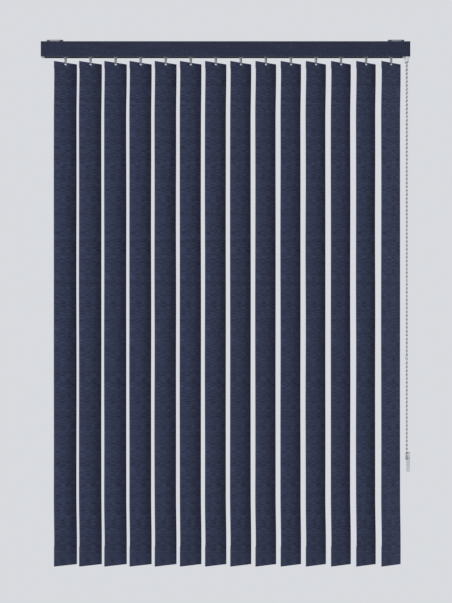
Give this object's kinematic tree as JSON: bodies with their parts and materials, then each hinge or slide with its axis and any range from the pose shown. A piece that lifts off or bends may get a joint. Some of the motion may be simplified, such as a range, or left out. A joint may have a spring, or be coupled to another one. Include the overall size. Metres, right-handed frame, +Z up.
{
  "type": "vertical blind",
  "caption": "Vertical blind with navy fabric louvers, a fabric-faced headrail with top brackets, and a looped bead chain held in a wall-mounted chain tidy.",
  "frame": {"origin": "centre of the ceiling face of the two mounting brackets, midway between them", "axes": "+X along the rail to the control side, +Y back to the window, +Z up"},
  "size_m": [1.1324, 0.0632, 1.614],
  "materials": {
    "headrail_aluminium": "dark navy powder coat, satin",
    "panel_plastic": "dark extruded strip",
    "fascia_cloth": "navy woven cloth with fine pale flecks",
    "louver_cloth": "navy woven cloth, level streaks and fine flecks",
    "bracket_steel": "grey painted steel",
    "bright_steel": "drawn pin",
    "grey_moulding": "light grey moulding",
    "white_nylon": "natural nylon",
    "rod_aluminium": "grooved drawn rod",
    "clear_moulding": "pale moulding, polished",
    "chain_bead": "grey moulded beads on a cord",
    "carrier_acetal": "moulded acetal",
    "hook_plastic": "grey hook"
  },
  "bodies": {
    "root": {"headrail": "headrail_aluminium", "fascia_panel": "panel_plastic", "fascia_fabric": "fascia_cloth", "mounting_brackets": "bracket_steel", "end_cap": "grey_moulding", "control_housing": "grey_moulding", "pulley_pins": "bright_steel", "chain_guide": "clear_moulding", "control_chain": "chain_bead", "chain_connector": "clear_moulding", "tidy_body": "clear_moulding", "tidy_cover": "clear_moulding", "carrier_14": "carrier_acetal"},
    "tilt_shaft": {"tilt_rod": "rod_aluminium", "rod_gear": "white_nylon"},
    "control_wheel": {"chain_wheel": "white_nylon"},
    "tidy_wheel": {"tidy_pulley": "white_nylon"},
    "idle_wheel": {"idle_pulley": "white_nylon"},
    "drive_wheel": {"drive_pulley": "white_nylon"},
    "louver_body_01": {"louver_01": "louver_cloth", "hook_01": "hook_plastic"},
    "carrier_body_01": {"carrier_01": "carrier_acetal"},
    "louver_body_02": {"louver_02": "louver_cloth", "hook_02": "hook_plastic"},
    "carrier_body_02": {"carrier_02": "carrier_acetal"},
    "louver_body_03": {"louver_03": "louver_cloth", "hook_03": "hook_plastic"},
    "carrier_body_03": {"carrier_03": "carrier_acetal"},
    "louver_body_04": {"louver_04": "louver_cloth", "hook_04": "hook_plastic"},
    "carrier_body_04": {"carrier_04": "carrier_acetal"},
    "louver_body_05": {"louver_05": "louver_cloth", "hook_05": "hook_plastic"},
    "carrier_body_05": {"carrier_05": "carrier_acetal"},
    "louver_body_06": {"louver_06": "louver_cloth", "hook_06": "hook_plastic"},
    "carrier_body_06": {"carrier_06": "carrier_acetal"},
    "louver_body_07": {"louver_07": "louver_cloth", "hook_07": "hook_plastic"},
    "carrier_body_07": {"carrier_07": "carrier_acetal"},
    "louver_body_08": {"louver_08": "louver_cloth", "hook_08": "hook_plastic"},
    "carrier_body_08": {"carrier_08": "carrier_acetal"},
    "louver_body_09": {"louver_09": "louver_cloth", "hook_09": "hook_plastic"},
    "carrier_body_09": {"carrier_09": "carrier_acetal"},
    "louver_body_10": {"louver_10": "louver_cloth", "hook_10": "hook_plastic"},
    "carrier_body_10": {"carrier_10": "carrier_acetal"},
    "louver_body_11": {"louver_11": "louver_cloth", "hook_11": "hook_plastic"},
    "carrier_body_11": {"carrier_11": "carrier_acetal"},
    "louver_body_12": {"louver_12": "louver_cloth", "hook_12": "hook_plastic"},
    "carrier_body_12": {"carrier_12": "carrier_acetal"},
    "louver_body_13": {"louver_13": "louver_cloth", "hook_13": "hook_plastic"},
    "carrier_body_13": {"carrier_13": "carrier_acetal"},
    "louver_body_14": {"louver_14": "louver_cloth", "hook_14": "hook_plastic"}
  },
  "joints": [
    {"name": "tilt_rod_turn", "type": "hinge", "parent": "root", "child": "tilt_shaft", "pos_m": [0, 0.0077, -0.0439], "axis": [1, 0, 0], "range_deg": [-384, 1488]},
    {"name": "louver_turn_01", "type": "hinge", "parent": "carrier_body_01", "child": "louver_body_01", "pos_m": [-0.492, 0, -0.0515], "axis": [0, 0, 1], "range_deg": [-32.5, 124.5]},
    {"name": "traverse", "type": "slide", "parent": "root", "child": "carrier_body_01", "axis": [1, 0, 0], "range_m": [0, 0.767]},
    {"name": "louver_turn_02", "type": "hinge", "parent": "carrier_body_02", "child": "louver_body_02", "pos_m": [-0.415, 0, -0.0515], "axis": [0, 0, 1], "range_deg": [-32.5, 124.5]},
    {"name": "carrier_slide_02", "type": "slide", "parent": "root", "child": "carrier_body_02", "axis": [1, 0, 0], "range_m": [0, 0.7085]},
    {"name": "louver_turn_03", "type": "hinge", "parent": "carrier_body_03", "child": "louver_body_03", "pos_m": [-0.338, 0, -0.0515], "axis": [0, 0, 1], "range_deg": [-32.5, 124.5]},
    {"name": "carrier_slide_03", "type": "slide", "parent": "root", "child": "carrier_body_03", "axis": [1, 0, 0], "range_m": [0, 0.6495]},
    {"name": "louver_turn_04", "type": "hinge", "parent": "carrier_body_04", "child": "louver_body_04", "pos_m": [-0.261, 0, -0.0515], "axis": [0, 0, 1], "range_deg": [-32.5, 124.5]},
    {"name": "carrier_slide_04", "type": "slide", "parent": "root", "child": "carrier_body_04", "axis": [1, 0, 0], "range_m": [0, 0.5905]},
    {"name": "louver_turn_05", "type": "hinge", "parent": "carrier_body_05", "child": "louver_body_05", "pos_m": [-0.184, 0, -0.0515], "axis": [0, 0, 1], "range_deg": [-32.5, 124.5]},
    {"name": "carrier_slide_05", "type": "slide", "parent": "root", "child": "carrier_body_05", "axis": [1, 0, 0], "range_m": [0, 0.5315]},
    {"name": "louver_turn_06", "type": "hinge", "parent": "carrier_body_06", "child": "louver_body_06", "pos_m": [-0.107, 0, -0.0515], "axis": [0, 0, 1], "range_deg": [-32.5, 124.5]},
    {"name": "carrier_slide_06", "type": "slide", "parent": "root", "child": "carrier_body_06", "axis": [1, 0, 0], "range_m": [0, 0.4725]},
    {"name": "louver_turn_07", "type": "hinge", "parent": "carrier_body_07", "child": "louver_body_07", "pos_m": [-0.03, 0, -0.0515], "axis": [0, 0, 1], "range_deg": [-32.5, 124.5]},
    {"name": "carrier_slide_07", "type": "slide", "parent": "root", "child": "carrier_body_07", "axis": [1, 0, 0], "range_m": [0, 0.4135]},
    {"name": "louver_turn_08", "type": "hinge", "parent": "carrier_body_08", "child": "louver_body_08", "pos_m": [0.047, 0, -0.0515], "axis": [0, 0, 1], "range_deg": [-32.5, 124.5]},
    {"name": "carrier_slide_08", "type": "slide", "parent": "root", "child": "carrier_body_08", "axis": [1, 0, 0], "range_m": [0, 0.3545]},
    {"name": "louver_turn_09", "type": "hinge", "parent": "carrier_body_09", "child": "louver_body_09", "pos_m": [0.124, 0, -0.0515], "axis": [0, 0, 1], "range_deg": [-32.5, 124.5]},
    {"name": "carrier_slide_09", "type": "slide", "parent": "root", "child": "carrier_body_09", "axis": [1, 0, 0], "range_m": [0, 0.2955]},
    {"name": "louver_turn_10", "type": "hinge", "parent": "carrier_body_10", "child": "louver_body_10", "pos_m": [0.201, 0, -0.0515], "axis": [0, 0, 1], "range_deg": [-32.5, 124.5]},
    {"name": "carrier_slide_10", "type": "slide", "parent": "root", "child": "carrier_body_10", "axis": [1, 0, 0], "range_m": [0, 0.2365]},
    {"name": "louver_turn_11", "type": "hinge", "parent": "carrier_body_11", "child": "louver_body_11", "pos_m": [0.278, 0, -0.0515], "axis": [0, 0, 1], "range_deg": [-32.5, 124.5]},
    {"name": "carrier_slide_11", "type": "slide", "parent": "root", "child": "carrier_body_11", "axis": [1, 0, 0], "range_m": [0, 0.1775]},
    {"name": "louver_turn_12", "type": "hinge", "parent": "carrier_body_12", "child": "louver_body_12", "pos_m": [0.355, 0, -0.0515], "axis": [0, 0, 1], "range_deg": [-32.5, 124.5]},
    {"name": "carrier_slide_12", "type": "slide", "parent": "root", "child": "carrier_body_12", "axis": [1, 0, 0], "range_m": [0, 0.1185]},
    {"name": "louver_turn_13", "type": "hinge", "parent": "carrier_body_13", "child": "louver_body_13", "pos_m": [0.432, 0, -0.0515], "axis": [0, 0, 1], "range_deg": [-32.5, 124.5]},
    {"name": "carrier_slide_13", "type": "slide", "parent": "root", "child": "carrier_body_13", "axis": [1, 0, 0], "range_m": [0, 0.0595]},
    {"name": "louver_turn_14", "type": "hinge", "parent": "root", "child": "louver_body_14", "pos_m": [0.509, 0, -0.0515], "axis": [0, 0, 1], "range_deg": [-32.5, 124.5]},
    {"name": "chain_wheel_turn", "type": "hinge", "parent": "root", "child": "control_wheel", "pos_m": [0.5574, 0, -0.027], "axis": [1, 0, 0], "range_deg": [-545, 145]},
    {"name": "tidy_pulley_turn", "type": "hinge", "parent": "root", "child": "tidy_wheel", "pos_m": [0.5574, 0, -1.2775], "axis": [1, 0, 0], "range_deg": [-812, 212]},
    {"name": "idle_pulley_turn", "type": "hinge", "parent": "root", "child": "idle_wheel", "pos_m": [-0.55, -0.01075, -0.04155], "axis": [0, 1, 0], "range_deg": [0, 8300]},
    {"name": "drive_pulley_turn", "type": "hinge", "parent": "root", "child": "drive_wheel", "pos_m": [0.538, -0.01075, -0.04155], "axis": [0, 1, 0], "range_deg": [0, 8300]}
  ],
  "couplings": [
    {"joint": "louver_turn_01", "follows": "tilt_rod_turn", "ratio": 0.083333},
    {"joint": "louver_turn_02", "follows": "tilt_rod_turn", "ratio": 0.083333},
    {"joint": "carrier_slide_02", "follows": "traverse", "ratio": 0.92308},
    {"joint": "louver_turn_03", "follows": "tilt_rod_turn", "ratio": 0.083333},
    {"joint": "carrier_slide_03", "follows": "traverse", "ratio": 0.84615},
    {"joint": "louver_turn_04", "follows": "tilt_rod_turn", "ratio": 0.083333},
    {"joint": "carrier_slide_04", "follows": "traverse", "ratio": 0.76923},
    {"joint": "louver_turn_05", "follows": "tilt_rod_turn", "ratio": 0.083333},
    {"joint": "carrier_slide_05", "follows": "traverse", "ratio": 0.69231},
    {"joint": "louver_turn_06", "follows": "tilt_rod_turn", "ratio": 0.083333},
    {"joint": "carrier_slide_06", "follows": "traverse", "ratio": 0.61538},
    {"joint": "louver_turn_07", "follows": "tilt_rod_turn", "ratio": 0.083333},
    {"joint": "carrier_slide_07", "follows": "traverse", "ratio": 0.53846},
    {"joint": "louver_turn_08", "follows": "tilt_rod_turn", "ratio": 0.083333},
    {"joint": "carrier_slide_08", "follows": "traverse", "ratio": 0.46154},
    {"joint": "louver_turn_09", "follows": "tilt_rod_turn", "ratio": 0.083333},
    {"joint": "carrier_slide_09", "follows": "traverse", "ratio": 0.38462},
    {"joint": "louver_turn_10", "follows": "tilt_rod_turn", "ratio": 0.083333},
    {"joint": "carrier_slide_10", "follows": "traverse", "ratio": 0.30769},
    {"joint": "louver_turn_11", "follows": "tilt_rod_turn", "ratio": 0.083333},
    {"joint": "carrier_slide_11", "follows": "traverse", "ratio": 0.23077},
    {"joint": "louver_turn_12", "follows": "tilt_rod_turn", "ratio": 0.083333},
    {"joint": "carrier_slide_12", "follows": "traverse", "ratio": 0.15385},
    {"joint": "louver_turn_13", "follows": "tilt_rod_turn", "ratio": 0.083333},
    {"joint": "carrier_slide_13", "follows": "traverse", "ratio": 0.076923},
    {"joint": "louver_turn_14", "follows": "tilt_rod_turn", "ratio": 0.083333},
    {"joint": "chain_wheel_turn", "follows": "tilt_rod_turn", "ratio": -0.36364},
    {"joint": "tidy_pulley_turn", "follows": "tilt_rod_turn", "ratio": -0.54016},
    {"joint": "idle_pulley_turn", "follows": "traverse", "rad_per_m": 188.68},
    {"joint": "drive_pulley_turn", "follows": "traverse", "rad_per_m": 188.68}
  ]
}
